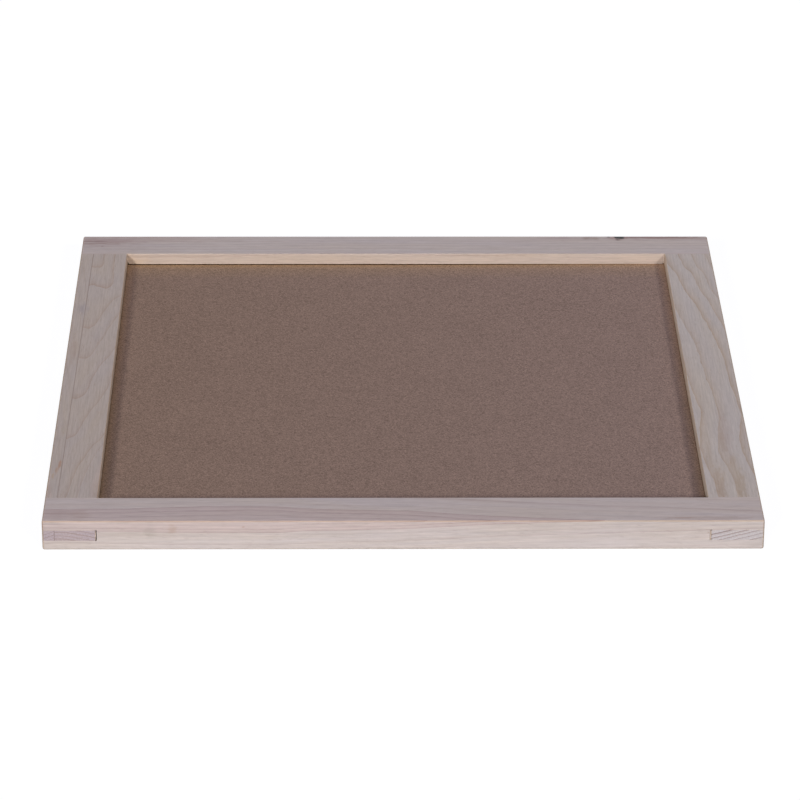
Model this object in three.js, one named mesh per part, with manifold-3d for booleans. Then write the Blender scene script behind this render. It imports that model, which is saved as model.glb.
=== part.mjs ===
// Beehive inner cover (crown board): two rails and two stiles of planed softwood, joined at the
// corners by through bridle joints, round a hardboard panel that lies loose in their grooves.
// The panel sits below the top face and above the underside, which leaves a bee space on each side.
//
// Millimetres, Z up. X runs along the rails, and Y from the front rail to the back one.
// The origin is the middle of the underside.

import * as THREE from 'three';
import { mergeVertices } from 'three/addons/utils/BufferGeometryUtils.js';
import Module from 'manifold-3d';

// The finished cover
const COVER_WIDTH = 460; // along X, over the rails' ends
const COVER_DEPTH = 460; // along Y, over the rails' outer faces
const STOCK_THICKNESS = 20.5; // of all four members, as planed

// The members
const RAIL_WIDTH = 33; // front and back, measured along Y
const STILE_WIDTH = 33.8; // left and right, measured along X

// The corner joints
const TENON_THICKNESS = 7.3;
const GLUE_LINE = 0.1; // on each cheek of a tenon and at its shoulders
const ROOT_GAP = 1; // from a tenon's inner edge to the bottom of its slot

// The panel and the groove that holds it
const PANEL_THICKNESS = 3.2;
const PANEL_SLACK = 0.7; // how much wider the groove is than the panel
const BEE_SPACE_ABOVE = 8; // from the top face down to the groove
const GROOVE_DEPTH = 8;
const PANEL_EXPANSION = 1; // room for the panel to swell, at each edge
const SLOT_CUTTER_RADIUS = 20; // its arc is left where a stile's groove stops

// Edges, eased with abrasive paper once the frame is glued up
const OUTER_EASE = 1.2; // radius along the outside edges, top and bottom
const CORNER_EXTRA = 0.3; // what the radius of the four upright corners has beyond that
const INNER_EASE = 0.4; // width of the small flat along the opening's edges, along X and Y

// How finely round stretches are faceted
const EASE_FACETS = 5;
const CUTTER_FACETS = 24;

// How far a cutting body runs past what it cuts
const OVERRUN = 2;

// What follows from the sizes above
const openingWidth = COVER_WIDTH - 2 * STILE_WIDTH;
const openingDepth = COVER_DEPTH - 2 * RAIL_WIDTH;
const slotHeight = TENON_THICKNESS + 2 * GLUE_LINE;
const slotBottom = (STOCK_THICKNESS - slotHeight) / 2;
const grooveHeight = PANEL_THICKNESS + PANEL_SLACK;
const grooveBottom = STOCK_THICKNESS - BEE_SPACE_ABOVE - grooveHeight;
const panelTongue = GROOVE_DEPTH - PANEL_EXPANSION;

const QUARTER_TURN = Math.PI / 2;

const planedSoftwood = new THREE.MeshStandardMaterial({
  name: 'planed_softwood',
  color: 0xc9b7a8,
  roughness: 0.62,
  metalness: 0,
});
const hardboard = new THREE.MeshStandardMaterial({
  name: 'hardboard',
  color: 0x8e796b,
  roughness: 0.5,
  metalness: 0,
});

const wasm = await Module();
wasm.setup();

// A closed geometry as a solid that can be cut.
function toSolid(geometry) {
  geometry.deleteAttribute('normal');
  geometry.deleteAttribute('uv');
  const merged = mergeVertices(geometry);
  return new wasm.Manifold(
    new wasm.Mesh({
      numProp: 3,
      vertProperties: merged.attributes.position.array,
      triVerts: Uint32Array.from(merged.index.array),
    }),
  );
}

// A solid as a named, flat-shaded mesh.
function toMesh(name, solid, material) {
  const { vertProperties, triVerts } = solid.getMesh();
  const shared = new THREE.BufferGeometry()
    .setAttribute('position', new THREE.BufferAttribute(vertProperties, 3))
    .setIndex(new THREE.BufferAttribute(triVerts, 1));
  const geometry = shared.toNonIndexed();
  geometry.computeVertexNormals();
  const mesh = new THREE.Mesh(geometry, material);
  mesh.name = name;
  return mesh;
}

// The stadium or rounded rectangle that an arc of one radius draws round four centres.
function roundedOutline(centreX, centreY, radius) {
  const shape = new THREE.Shape();
  const signs = [[1, 1], [-1, 1], [-1, -1], [1, -1]];
  signs.forEach(([signX, signY], quarter) => {
    const start = quarter * QUARTER_TURN;
    shape.absarc(signX * centreX, signY * centreY, radius, start, start + QUARTER_TURN);
  });
  return shape;
}

// A batten's side view with the same joint at both ends. The points are those of one end, from
// the underside to the top face, and are mirrored for the other.
function battenOutline(endPoints) {
  const farEnd = endPoints.map(([along, height]) => [-along, height]).reverse();
  const points = [...endPoints, ...farEnd];
  return new THREE.Shape(points.map(([along, height]) => new THREE.Vector2(along, height)));
}

// Stands an extruded side view up on its underside: its outline's height becomes Z.
function standUp(geometry) {
  return geometry.rotateX(QUARTER_TURN);
}

// The outer form that sanding leaves on the glued-up frame: every outside edge is rounded.
function sandedEnvelope() {
  const inset = OUTER_EASE + CORNER_EXTRA;
  const plan = roundedOutline(COVER_WIDTH / 2 - inset, COVER_DEPTH / 2 - inset, CORNER_EXTRA);
  const envelope = new THREE.ExtrudeGeometry(plan, {
    depth: STOCK_THICKNESS - 2 * OUTER_EASE,
    bevelThickness: OUTER_EASE,
    bevelSize: OUTER_EASE,
    bevelSegments: EASE_FACETS,
    curveSegments: EASE_FACETS,
  });
  return toSolid(envelope.translate(0, 0, OUTER_EASE));
}

// A block over the opening whose four sides flare upwards at 45 degrees. It meets the top face a
// little outside the opening, so it takes a narrow flat off the opening's edges.
function easingBlock() {
  const height = INNER_EASE + 2 * OVERRUN;
  const block = new THREE.BoxGeometry(openingWidth, openingDepth, height);
  const corners = block.attributes.position;
  for (let i = 0; i < corners.count; i += 1) {
    const flare = corners.getZ(i) > 0 ? INNER_EASE + OVERRUN : -OVERRUN;
    corners.setX(i, corners.getX(i) + Math.sign(corners.getX(i)) * flare);
    corners.setY(i, corners.getY(i) + Math.sign(corners.getY(i)) * flare);
  }
  return block.translate(0, 0, STOCK_THICKNESS - INNER_EASE / 2);
}

// The same block turned over eases the opening's edges on the underside.
function easingBlockBelow() {
  return easingBlock().rotateX(2 * QUARTER_TURN).translate(0, 0, STOCK_THICKNESS);
}

// What the abrasive paper does to a member once the frame is glued up.
function sanded(member) {
  return member
    .intersect(sandedEnvelope())
    .subtract(toSolid(easingBlock()))
    .subtract(toSolid(easingBlockBelow()));
}

// The front rail: a batten with an open slot at each end for the stiles' tenons. Its groove runs
// from end to end, because the slots swallow both ends of it.
function rail() {
  const end = COVER_WIDTH / 2;
  const root = end - STILE_WIDTH - ROOT_GAP;
  const slotTop = slotBottom + slotHeight;
  const sideView = battenOutline([
    [end, 0],
    [end, slotBottom],
    [root, slotBottom],
    [root, slotTop],
    [end, slotTop],
    [end, STOCK_THICKNESS],
  ]);
  const innerFace = -openingDepth / 2;
  const batten = new THREE.ExtrudeGeometry(sideView, { depth: RAIL_WIDTH, bevelEnabled: false });
  standUp(batten).translate(0, innerFace, 0);

  const groove = new THREE.BoxGeometry(
    COVER_WIDTH + 2 * OVERRUN,
    GROOVE_DEPTH + OVERRUN,
    grooveHeight,
  );
  const grooveMiddle = innerFace - (GROOVE_DEPTH - OVERRUN) / 2;
  groove.translate(0, grooveMiddle, grooveBottom + grooveHeight / 2);
  return sanded(toSolid(batten).subtract(toSolid(groove)));
}

// The left stile: a batten with a tenon at each end that runs right through the rail. A slot
// cutter plunges in near one end, travels along the inner edge and comes out near the other, so
// the groove takes in the panel's corners, ends in two arcs inside the joints and never shows.
function stile() {
  const end = COVER_DEPTH / 2;
  const shoulder = openingDepth / 2 - GLUE_LINE;
  const tenonBottom = slotBottom + GLUE_LINE;
  const tenonTop = tenonBottom + TENON_THICKNESS;
  const sideView = battenOutline([
    [shoulder, 0],
    [shoulder, tenonBottom],
    [end, tenonBottom],
    [end, tenonTop],
    [shoulder, tenonTop],
    [shoulder, STOCK_THICKNESS],
  ]);
  const batten = new THREE.ExtrudeGeometry(sideView, { depth: STILE_WIDTH, bevelEnabled: false });
  standUp(batten).rotateZ(QUARTER_TURN).translate(-COVER_WIDTH / 2, 0, 0);

  const cutterPath = roundedOutline(0, openingDepth / 2 + GROOVE_DEPTH, SLOT_CUTTER_RADIUS);
  const groove = new THREE.ExtrudeGeometry(cutterPath, {
    depth: grooveHeight,
    bevelEnabled: false,
    curveSegments: CUTTER_FACETS,
  });
  const cutterCentre = -openingWidth / 2 - GROOVE_DEPTH + SLOT_CUTTER_RADIUS;
  groove.translate(cutterCentre, 0, grooveBottom);
  return sanded(toSolid(batten).subtract(toSolid(groove)));
}

// The panel lies on the grooves' lower cheeks, with room to swell at its four edges.
function panel() {
  const sheet = new THREE.BoxGeometry(
    openingWidth + 2 * panelTongue,
    openingDepth + 2 * panelTongue,
    PANEL_THICKNESS,
  );
  return toSolid(sheet.translate(0, 0, grooveBottom + PANEL_THICKNESS / 2));
}

// The back rail is the front one turned half round, and so is the right stile.
function turnedHalfRound(mesh) {
  mesh.rotation.z = 2 * QUARTER_TURN;
  return mesh;
}

const cover = new THREE.Group();
cover.name = 'hive_cover';
cover.add(
  toMesh('front_rail', rail(), planedSoftwood),
  turnedHalfRound(toMesh('back_rail', rail(), planedSoftwood)),
  toMesh('left_stile', stile(), planedSoftwood),
  turnedHalfRound(toMesh('right_stile', stile(), planedSoftwood)),
  toMesh('hardboard_panel', panel(), hardboard),
);

export default cover;
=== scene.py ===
# Looks of a beehive inner cover (crown board): a bridle-jointed frame of planed spruce round a loose
# hardboard panel. Metres, Z up, the origin in the middle of the underside, -Y towards the front rail.
# Patterns are laid out in board millimetres: u along a member, v across its top face, d down from it.

import math
from typing import NamedTuple

import bpy
from mathutils import Matrix, Vector


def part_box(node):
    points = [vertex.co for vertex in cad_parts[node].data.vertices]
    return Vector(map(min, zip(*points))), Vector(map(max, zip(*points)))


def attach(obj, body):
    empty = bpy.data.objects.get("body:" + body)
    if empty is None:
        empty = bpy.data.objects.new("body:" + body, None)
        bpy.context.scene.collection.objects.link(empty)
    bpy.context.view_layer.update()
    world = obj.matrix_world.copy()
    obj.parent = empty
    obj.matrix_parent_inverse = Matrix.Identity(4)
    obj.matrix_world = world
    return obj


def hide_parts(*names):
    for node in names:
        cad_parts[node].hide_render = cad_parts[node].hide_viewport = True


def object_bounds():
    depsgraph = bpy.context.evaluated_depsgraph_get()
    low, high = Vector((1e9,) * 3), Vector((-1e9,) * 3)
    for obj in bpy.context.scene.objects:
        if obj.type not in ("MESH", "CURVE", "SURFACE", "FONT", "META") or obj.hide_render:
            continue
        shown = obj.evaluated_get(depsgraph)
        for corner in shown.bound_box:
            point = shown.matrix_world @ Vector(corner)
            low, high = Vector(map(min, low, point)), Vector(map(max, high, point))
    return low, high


bl_info = {
    "name": "Hive Inner Cover",
    "version": (1, 0, 0),
    "blender": (4, 5, 0),
    "location": "3D View > Sidebar > Hive Cover",
    "description": "Finishes the frame, the panel and the glued joints of a hive's inner cover",
    "category": "Object",
}

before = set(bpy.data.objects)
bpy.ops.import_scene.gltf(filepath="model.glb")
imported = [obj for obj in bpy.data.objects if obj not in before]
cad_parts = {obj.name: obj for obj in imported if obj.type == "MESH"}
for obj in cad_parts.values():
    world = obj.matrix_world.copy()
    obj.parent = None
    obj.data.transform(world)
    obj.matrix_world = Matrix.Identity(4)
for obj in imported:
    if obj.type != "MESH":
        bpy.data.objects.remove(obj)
CAD_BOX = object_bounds()

BODY = "root"
MM = 0.001
SEED = 7
WHITE = (1.0, 1.0, 1.0, 1.0)


def from_hex(text):
    """An sRGB hex colour as linear values."""
    channels = (int(text[i : i + 2], 16) / 255 for i in (0, 2, 4))
    return tuple(c / 12.92 if c <= 0.04045 else ((c + 0.055) / 1.055) ** 2.4 for c in channels)


def opaque(colour):
    """A linear colour with the alpha that colour sockets want."""
    return (*colour[:3], 1.0)


def times(colour, tint):
    """A linear colour times a tint, channel by channel."""
    return tuple(level * share for level, share in zip(colour, tint))


# How the members were cut


class Blemish(NamedTuple):
    """A knot, stain or streak: its middle and its reach from there, along u, v and d."""

    middle: tuple
    reach: tuple
    colour: str
    strength: float  # above 1 it is solid in its middle and its edge is hard


class Seam(NamedTuple):
    """The line where a member is edge-glued from two laths, each with rings of its own."""

    place: float  # its v at one end of the member
    slope: float  # how v changes with u
    jump: float  # how far the outer lath's rings are set off
    slant: float  # and how much further for each millimetre outwards
    fainter: float  # what the outer lath keeps of the rings' strength


class Board(NamedTuple):
    """How one member lies in the log. The ring coordinate is a length that grows from ring to ring."""

    stile: bool  # runs along Y, and not along X
    outer_side: int  # which way v runs: +1 with the frame's axis, -1 against it
    growth: tuple  # rise of the ring coordinate for a millimetre of u, v and d
    bend: tuple  # (place on the axis that it follows, what it adds to the ring coordinate)
    barkward: bool  # the ring coordinate rises towards the bark, and not towards the pith
    rings: tuple  # (ring coordinate where a ring ends, how dark its latewood is)
    wander: tuple  # slow and quick wavering of the rings
    steep: float  # how narrow the latewood is, as a power
    heartwood: tuple  # where the wood turns browner, where half of that is left, and how brown it is
    earlywood: str
    latewood: str
    end_grain: tuple  # what a cut across the grain does to the colour
    # Above 1, on the stiles, this is painted light on the inner faces.
    inner: float  # how bright the planed inner edge is beside the sanded faces
    blemishes: tuple
    follows: int = 0  # the axis that the rings bend along: 0 for u, 1 for v
    lean: tuple = ()  # (place on the other axis, how far it moves the bend)
    seam: Seam | None = None


BOARDS = {
    "front_rail": Board(
        stile=False,
        outer_side=-1,
        growth=(0.0, 1.0, -2.47),
        bend=(
            (0, -15.4), (40, -15.0), (75, -13.8), (105, -13.0), (145, -12.8), (168, -15.2), (200, -17.2),
            (230, -18.7), (250, -21.0), (280, -25.2), (320, -29.0), (345, -31.5), (400, -35.5), (460, -40.0),
        ),
        barkward=False,
        rings=(
            (-77, 0.3), (-70, 0.3), (-63, 0.4), (-56, 0.3), (-49, 0.4), (-42, 0.25), (-35, 0.4), (-28, 0.3),
            (-21.5, 1.0), (-14, 0.3), (-7, 0.4), (0, 1.0), (5.2, 1.1), (11.5, 0.8), (17, 0.6), (23, 0.6),
        ),
        wander=(0.8, 0.4),
        steep=2.6,
        heartwood=(-0.3, 24.0, 0.45),
        earlywood="BAAEA6",
        latewood="957E79",
        end_grain=(0.9, 0.87, 0.92),
        inner=1.0,
        blemishes=(
            Blemish((100, 33, 16), (150, 5, 7), "D6CDC8", 0.2),
            Blemish((110, 33, 3), (170, 5, 5), "D2BDB6", 0.25),
            Blemish((330, 33, 15), (160, 5, 8), "D6CDC8", 0.15),
            Blemish((9, 21, 0), (15, 9, 4), "947E78", 0.28),
            Blemish((24, 24, 0), (8, 9, 3), "8F7666", 0.22),
            Blemish((407, 28.8, 0), (11, 1.2, 3), "8E6A50", 0.35),
            Blemish((425, 29, 0), (38, 3.4, 3), "93796C", 0.3),
            Blemish((69, 33, 8), (4.6, 3, 6.5), "8E8678", 0.26),
            Blemish((82.5, 33, 5.5), (3.4, 2, 4.0), "A08468", 0.32),
            Blemish((128, 33, 4.2), (1.4, 1, 1.0), "A07A62", 0.3),
            Blemish((424.2, 33, 8.6), (0.7, 1, 0.7), "9A7868", 0.4),
        ),
    ),
    "back_rail": Board(
        stile=False,
        outer_side=-1,
        growth=(0.0, 1.0, 0.5),
        bend=((0, 0.2), (90, -1.0), (190, 0.5), (300, -0.3), (380, 0.6), (460, -0.6)),
        barkward=True,
        rings=(
            (-4, 0.4), (2, 0.4), (6, 0.5), (9.8, 0.8), (14.7, 0.6), (18.6, 0.7), (24.5, 0.7), (29, 0.4),
            (33.5, 0.6), (38, 0.5), (43, 0.5),
        ),
        wander=(0.5, 0.3),
        steep=3.0,
        heartwood=(30.0, 60.0, 0.2),
        earlywood="B8ADA5",
        latewood="957E79",
        end_grain=(0.9, 0.87, 0.92),
        inner=1.0,
        blemishes=(
            Blemish((20, 5, 0), (95, 10, 6), "8C6E6A", 0.3),
            Blemish((12, 11.5, 0), (34, 9, 6), "86665F", 0.36),
            Blemish((15, 20, 0), (60, 18, 6), "8E7A74", 0.2),
            Blemish((10, 13.5, 0), (18, 0.8, 4), "6A5450", 0.35),
            Blemish((8, 9.8, 0), (14, 0.8, 4), "5E4A46", 0.5),
            Blemish((352, 4.5, 0), (30, 3.5, 4), "98797A", 0.3),
            Blemish((371, 4.2, 0), (5.0, 2.6, 5), "6E5436", 0.42),
            Blemish((377.5, 4.6, 0), (4.5, 2.8, 5), "7A5C3E", 0.4),
            Blemish((426, 2.9, 0), (48, 2.0, 6), "5C403A", 0.7),
            Blemish((428, 4.6, 0), (50, 3.6, 6), "8C625C", 0.35),
            Blemish((393.5, 3.6, 0), (8.5, 5.6, 9), "7C4C42", 0.5),
            Blemish((387.0, 1.8, 0), (1.8, 1.2, 6), "2E201C", 0.8),
            Blemish((394.0, 2.0, 0), (3.6, 6.3, 8), "15100E", 2.0),
            Blemish((396.4, 1.6, 0), (2.8, 5.2, 8), "15100E", 2.0),
            Blemish((15, 18.6, 0), (1.1, 1.0, 3), "5E4A44", 0.5),
            # Painted warm bounce light on the inner wall by the left back corner.
            Blemish((36, 33, 6), (14, 2.5, 7), "C3AD97", 0.5),
        ),
    ),
    "left_stile": Board(
        stile=True,
        outer_side=1,
        growth=(1.0, 0.0, -24.0),
        follows=1,
        bend=(
            (0, 3), (8, 1.5), (12, 0), (15, 1), (17.5, 6), (20, 17), (24, 35), (28, 55), (31, 68), (36, 95),
        ),
        lean=(
            (0, 8), (36, 3.5), (52, 0), (62, -2), (80, -6.6), (94, -8), (108, -4), (122, -0.8), (200, 0),
            (215, 1), (228, 2.8), (246, 3), (262, 1.2), (276, 1.2), (300, 2.8), (335, 3.2), (352, 6.5),
            (380, 8), (400, 7.2), (425, 4.2), (460, 2),
        ),
        barkward=True,
        rings=(
            (-370, 0.6), (-310, 0.7), (-250, 0.6), (-185, 0.8), (-120, 0.6), (-60, 0.7), (10, 0.4),
            (58, 0.9), (94, 1.1), (163, 0.8), (216, 0.75), (278, 0.9), (338, 0.85), (380, 0.1), (432, 1.0),
            (465, 0.7), (530, 0.7),
        ),
        wander=(4.0, 1.6),
        steep=6.5,
        heartwood=(500.0, 600.0, 0.2),
        earlywood="AC9F93",
        latewood="987E68",
        end_grain=(0.96, 0.93, 1.09),
        inner=1.12,
        blemishes=(
            Blemish((130, 7.5, 0), (12, 5.0, 4), "807A82", 0.3),
            Blemish((379, 6.4, 0), (8, 1.5, 2), "9A6638", 0.5),
            Blemish((387, 5.0, 0), (7, 1.3, 2), "A07448", 0.4),
            Blemish((396, 3.0, 0), (8, 1.3, 2), "A88658", 0.35),
            Blemish((202, 4.6, 0), (30, 3.6, 3), "9A8068", 0.25),
            Blemish((328, 6, 0), (10, 3, 3), "96866C", 0.22),
        ),
        seam=Seam(9.3, -0.0032, 44.0, 9.0, 0.45),
    ),
    "right_stile": Board(
        stile=True,
        outer_side=-1,
        growth=(0.0, 1.0, -3.73),
        bend=(
            (0, -40), (33, -33), (50, -31), (75, -25.5), (90, -24), (120, -18), (140, -15), (170, -10),
            (210, -5.5), (250, -3.6), (280, -1.5), (300, -0.5), (320, -2.0), (345, -3.5), (357, -4.0),
            (370, -2.8), (385, -1.0), (400, 1.2), (425, 2.2), (460, 4),
        ),
        barkward=True,
        rings=(
            (-98, 0.7), (-88, 0.6), (-79, 0.8), (-69, 0.7), (-59, 0.8), (-49, 0.6), (-39, 0.8), (-28, 0.6),
            (-18, 0.8), (-9.3, 1.0), (1.2, 1.1), (16.5, 0.85), (29, 1.1), (38, 0.5), (48, 0.5),
        ),
        wander=(1.1, 0.6),
        steep=2.8,
        heartwood=(60.0, 80.0, 0.3),
        earlywood="B5ABA1",
        latewood="9E8468",
        end_grain=(1.05, 1.08, 1.2),
        inner=1.36,
        blemishes=(
            Blemish((332, 15, 0), (44, 5.5, 4), "9C877C", 0.3),
            Blemish((350, 17.0, 0), (26, 2.6, 4), "96806A", 0.28),
            Blemish((376, 13.6, 0), (15, 3.2, 3), "977B58", 0.3),
            Blemish((408, 11.0, 0), (34, 4.6, 3), "998263", 0.4),
            Blemish((410, 24.0, 0), (36, 4.4, 3), "967A5A", 0.4),
            Blemish((365, 27.5, 0), (40, 2.2, 3), "9C866C", 0.25),
        ),
    ),
}

# Settings that a user would change

PAINT = {"subtype": "COLOR", "min": 0.0, "max": 1.0}
TINT = {"subtype": "COLOR", "min": 0.0, "max": 1.5}
LEVEL = {"min": 0.0, "max": 2.0}


class SpruceSettings(bpy.types.PropertyGroup):
    grain: bpy.props.FloatProperty(
        name="Grain", description="How strongly the latewood shows in the rings", default=1.0, **LEVEL
    )
    streaks: bpy.props.FloatProperty(
        name="Streaks",
        description="Contrast of the short fibre streaks along the grain",
        min=0.0,
        max=0.5,
        default=0.12,
    )
    heartwood: bpy.props.FloatVectorProperty(
        name="Heartwood", description="Browner zone of a member", default=from_hex("B39C95"), **PAINT
    )
    # Partly the planed wood's own tone, partly painted warm bounce light on the inner faces.
    unsanded_and_bounce: bpy.props.FloatVectorProperty(
        name="Unsanded And Bounce",
        description="What the inner edges are of the other faces' colour: planed, never sanded",
        default=(1.08, 1.02, 0.94),
        **TINT,
    )
    burnished: bpy.props.FloatVectorProperty(
        name="Burnished",
        description="Tint of the eased edges, which the abrasive paper rubbed hardest",
        default=from_hex("F6EAD8"),
        **PAINT,
    )
    # Painted shade on the stiles' inner faces, low down by the groove.
    wall_foot_shade: bpy.props.FloatVectorProperty(
        name="Wall Foot Shade",
        description="Tint of the stiles' inner edges beside the groove",
        default=(0.72, 0.58, 0.42),
        **PAINT,
    )
    # Painted highlight on the narrow eased flats round the opening.
    edge_highlight: bpy.props.FloatVectorProperty(
        name="Edge Highlight",
        description="What the opening's narrow flats are of the colour round them",
        default=(1.2, 1.3, 1.38),
        **TINT,
    )
    ripple: bpy.props.FloatProperty(
        name="Cutter Ripple",
        description="Spacing of the planer cutter's marks along the grain",
        unit="LENGTH",
        min=0.5 * MM,
        max=5 * MM,
        default=2.2 * MM,
    )


class PanelSettings(bpy.types.PropertyGroup):
    face: bpy.props.FloatVectorProperty(
        name="Pressed Face",
        description="Smooth side of the hardboard, which faces up",
        default=from_hex("91796A"),
        **PAINT,
    )
    back: bpy.props.FloatVectorProperty(
        name="Screen Back",
        description="Rough side, which lay on a wire screen in the press",
        default=from_hex("8A7361"),
        **PAINT,
    )
    lift: bpy.props.FloatProperty(
        name="Lift",
        description="How far the loose sheet has warped up at its right back corner",
        unit="LENGTH",
        min=0.0,
        max=0.65 * MM,
        default=0.5 * MM,
    )
    waviness: bpy.props.FloatProperty(
        name="Waviness",
        description="Height of the sheet's long, slow waves",
        unit="LENGTH",
        min=0.0,
        max=0.1 * MM,
        default=0.08 * MM,
    )
    screen_pitch: bpy.props.FloatProperty(
        name="Screen Pitch",
        description="Spacing of the wires whose print is on the back",
        unit="LENGTH",
        min=0.5 * MM,
        max=4 * MM,
        default=1.9 * MM,
    )


class GlueSettings(bpy.types.PropertyGroup):
    colour: bpy.props.FloatVectorProperty(
        name="Dried Glue", description="Joiner's glue once it has set", default=from_hex("CDBBA9"), **PAINT
    )
    film: bpy.props.FloatProperty(
        name="Film",
        description="Thickness of the glue between a tenon's cheek and its slot",
        unit="LENGTH",
        min=0.02 * MM,
        max=0.1 * MM,
        default=0.098 * MM,
    )


class StageSettings(bpy.types.PropertyGroup):
    left_lamp: bpy.props.FloatProperty(
        name="Left Lamp",
        description="Level at which it lights a surface that faces it, where 1 shows a colour as written",
        default=0.62,
        **LEVEL,
    )
    right_lamp: bpy.props.FloatProperty(
        name="Right Lamp", description="The same for the lamp on the right", default=0.48, **LEVEL
    )
    top_lamp: bpy.props.FloatProperty(
        name="Top Lamp", description="The same for the broad lamp overhead", default=0.225, **LEVEL
    )
    under_lamp: bpy.props.FloatProperty(
        name="Under Lamp",
        description="The same for the lamp below the table, which reaches nothing but the underside",
        default=0.8,
        **LEVEL,
    )
    sky: bpy.props.FloatVectorProperty(
        name="Sky",
        description="The even light from all round, which is dim and blue",
        default=from_hex("1E2A40"),
        **PAINT,
    )
    table: bpy.props.FloatVectorProperty(
        name="Table",
        description="Colour that the floor throws back on to the part",
        default=from_hex("C4C4CA"),
        **PAINT,
    )


class HiveCoverSettings(bpy.types.PropertyGroup):
    spruce: bpy.props.PointerProperty(type=SpruceSettings)
    panel: bpy.props.PointerProperty(type=PanelSettings)
    glue: bpy.props.PointerProperty(type=GlueSettings)
    stage: bpy.props.PointerProperty(type=StageSettings)


# Building nodes

LOW, HIGH = 0.25, 0.75  # noise seldom leaves this range


def add(tree, kind, inputs=(), **settings):
    """Adds a node. Its inputs are values, sockets or nodes, by place among those in use or by name."""
    node = tree.nodes.new(kind)
    for name, value in settings.items():
        setattr(node, name, value)
    sockets = [socket for socket in node.inputs if socket.enabled]
    pairs = inputs.items() if isinstance(inputs, dict) else enumerate(inputs)
    for key, value in pairs:
        socket = sockets[key] if isinstance(key, int) else next(s for s in sockets if s.name == key)
        if isinstance(value, bpy.types.Node):
            value = next(output for output in value.outputs if output.enabled)
        if isinstance(value, bpy.types.NodeSocket):
            tree.links.new(value, socket)
        else:
            socket.default_value = value
    return node


def new_material(name):
    """An empty node material and its tree."""
    material = bpy.data.materials.new(name)
    material.use_nodes = True
    material.node_tree.nodes.clear()
    return material, material.node_tree


def in_millimetres(tree):
    """Object coordinates as millimetres."""
    here = add(tree, "ShaderNodeTexCoord").outputs["Object"]
    return add(tree, "ShaderNodeMapping", [here, (0, 0, 0), (0, 0, 0), (1 / MM,) * 3])


def follow(tree, place, points):
    """Reads a given curve at a place, and runs straight on past its ends."""
    places = [point[0] for point in points]
    heights = [point[1] for point in points]
    near, far = places[0], places[-1]
    low, high = min(heights), max(heights)
    share = add(tree, "ShaderNodeMapRange", [place, near, far], clamp=False)
    curve = add(tree, "ShaderNodeFloatCurve", [1.0, share])
    curve.mapping.use_clip = False
    curve.mapping.extend = "EXTRAPOLATED"
    knots = curve.mapping.curves[0].points
    spots = [((x - near) / (far - near), (y - low) / (high - low)) for x, y in points]
    knots[0].location = spots[0]
    knots[1].location = spots[-1]
    for spot in spots[1:-1]:
        knots.new(*spot)
    curve.mapping.update()
    return add(tree, "ShaderNodeMapRange", [curve, 0.0, 1.0, low, high], clamp=False)


def noise(tree, place, stretch, seed, detail=2.0, roughness=0.5):
    """Noise whose lumps are about stretch millimetres long on each axis, from 0 to 1 around 0.5."""
    seat = [place, tuple(1.0 / length for length in stretch), (seed, 0.37 * seed, 0.0)]
    seat = add(tree, "ShaderNodeVectorMath", seat, operation="MULTIPLY_ADD")
    settings = {"Vector": seat, "Scale": 1.0, "Detail": detail, "Roughness": roughness}
    return add(tree, "ShaderNodeTexNoise", settings)


def total(tree, *parts):
    """Adds up parts of (what, how much of it)."""
    so_far = 0.0
    for what, weight in parts:
        so_far = add(tree, "ShaderNodeMath", [what, weight, so_far], operation="MULTIPLY_ADD")
    return so_far


def tinted(tree, share, colour, tint):
    """A colour as it is where share is 0, and times a tint where share is 1."""
    changed = add(tree, "ShaderNodeVectorMath", [colour, tuple(tint)], operation="MULTIPLY")
    return add(tree, "ShaderNodeMix", [share, colour, changed], data_type="RGBA")


def ripples(tree, along, pitch):
    """A sine wave along a coordinate in millimetres, with its pitch in metres."""
    turn = add(tree, "ShaderNodeMath", [along, 2 * math.pi * MM / pitch], operation="MULTIPLY")
    return add(tree, "ShaderNodeMath", [turn], operation="SINE")


def finish_surface(tree, surface, relief, deep=MM, strength=1.0):
    """Ends a material, whose relief is deep metres for each unit of its height."""
    bump = add(tree, "ShaderNodeBump", {"Strength": strength, "Distance": deep, "Height": relief})
    shader = add(tree, "ShaderNodeBsdfPrincipled", surface | {"Normal": bump})
    add(tree, "ShaderNodeOutputMaterial", [shader])


# Planed spruce

# The patterns' sizes along u, v and d, in millimetres
RING_WAVES = ((80, 22, 22), (14, 5, 5))  # slow and quick
TONE_PATCH = (70, 14, 14)
YEAR_LENGTH = 160  # how long a stretch of a year's wood keeps its tone
STREAK = (24, 1.1, 1.1)  # a bundle of tracheids, which are 3 mm long and far too thin to show
FIBRE = (7, 0.6, 0.6)
CANAL_CELL = (7, 1.5, 1.5)  # the room that one resin canal has
FRAY = (9, 2.2, 2.2)  # along the edges of knots and stains

# Where each thing sets in, as pairs of none and full
TONE_RANGE = (0.7, 1.3)  # of the sum of two noises
SEAM_RANGE = (0.45, 0.1)  # millimetres from its middle
CANAL_RANGE = (0.3, 0.14)  # shares of its cell
BLEMISH_RANGE = (1.15, 0.25)  # shares of its reach
# The first is where the painted shade on the stiles' inner faces sets in, the second where the painted
# highlight on the rails' groove edge lies.
WALL_FOOT_SHADE_RANGE, LIP_HIGHLIGHT_RANGE = (4.5, 8.0), (6.9, 7.5)  # millimetres down from the top face
INNER_RANGE, SLANT_RANGE = (0.8, 0.95), (0.35, 0.5)  # how squarely a face looks into the opening
EASED_RANGE = (0.985, 0.88)  # how squarely it looks along any axis
END_RANGE = (0.75, 0.95)  # how squarely it looks along the grain

# How dark the latewood is: its thin line and its soft band, on a face and across the grain
LINE_POWER = 3.5  # what makes the line out of the band
FACE_LINE, FACE_BAND = 0.2, 0.38
END_LINE, END_BAND = 0.68, 0.35
CANAL_DARK, SEAM_DARK = 0.2, 0.5
CANALS_LEFT_OUT = 0.55  # cells whose random value is lower have none

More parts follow.
